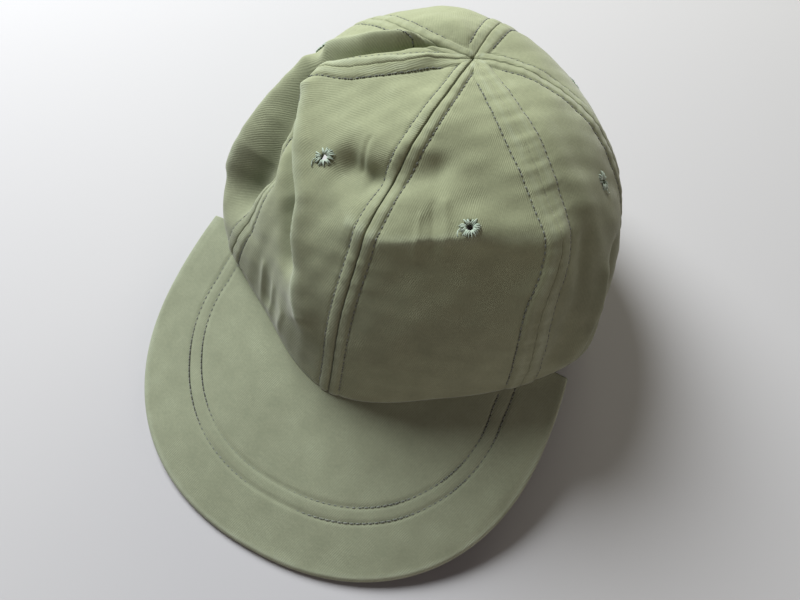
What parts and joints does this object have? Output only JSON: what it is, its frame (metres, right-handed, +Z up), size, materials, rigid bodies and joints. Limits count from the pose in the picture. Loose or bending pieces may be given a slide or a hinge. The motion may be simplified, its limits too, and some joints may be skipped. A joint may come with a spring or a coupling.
{
  "type": "field cap",
  "caption": "Soft cloth field cap with a round stiff peak, a crown of sewn panels and sewn ventilation eyelets, lying at rest.",
  "frame": {"origin": "middle of the cap's box in plan, on the surface that it rests on", "axes": "+Z up, the peak points to -Y, +X is the wearer's left"},
  "size_m": [0.1872, 0.2582, 0.1143],
  "materials": {
    "crown_cloth": "matt cotton twill",
    "peak_cloth": "matt cotton twill over a stiff board",
    "eyelet_thread": "pale buttonhole thread"
  },
  "bodies": {
    "root": {"panel_front_left": "crown_cloth", "panel_front_right": "crown_cloth", "panel_side_left": "crown_cloth", "panel_side_right": "crown_cloth", "panel_rear_left": "crown_cloth", "panel_rear_right": "crown_cloth", "peak": "peak_cloth", "eyelet_front_left": "eyelet_thread", "eyelet_front_right": "eyelet_thread", "eyelet_side_left": "eyelet_thread", "eyelet_side_right": "eyelet_thread", "eyelet_rear_left": "eyelet_thread", "eyelet_rear_right": "eyelet_thread"}
  },
  "joints": []
}
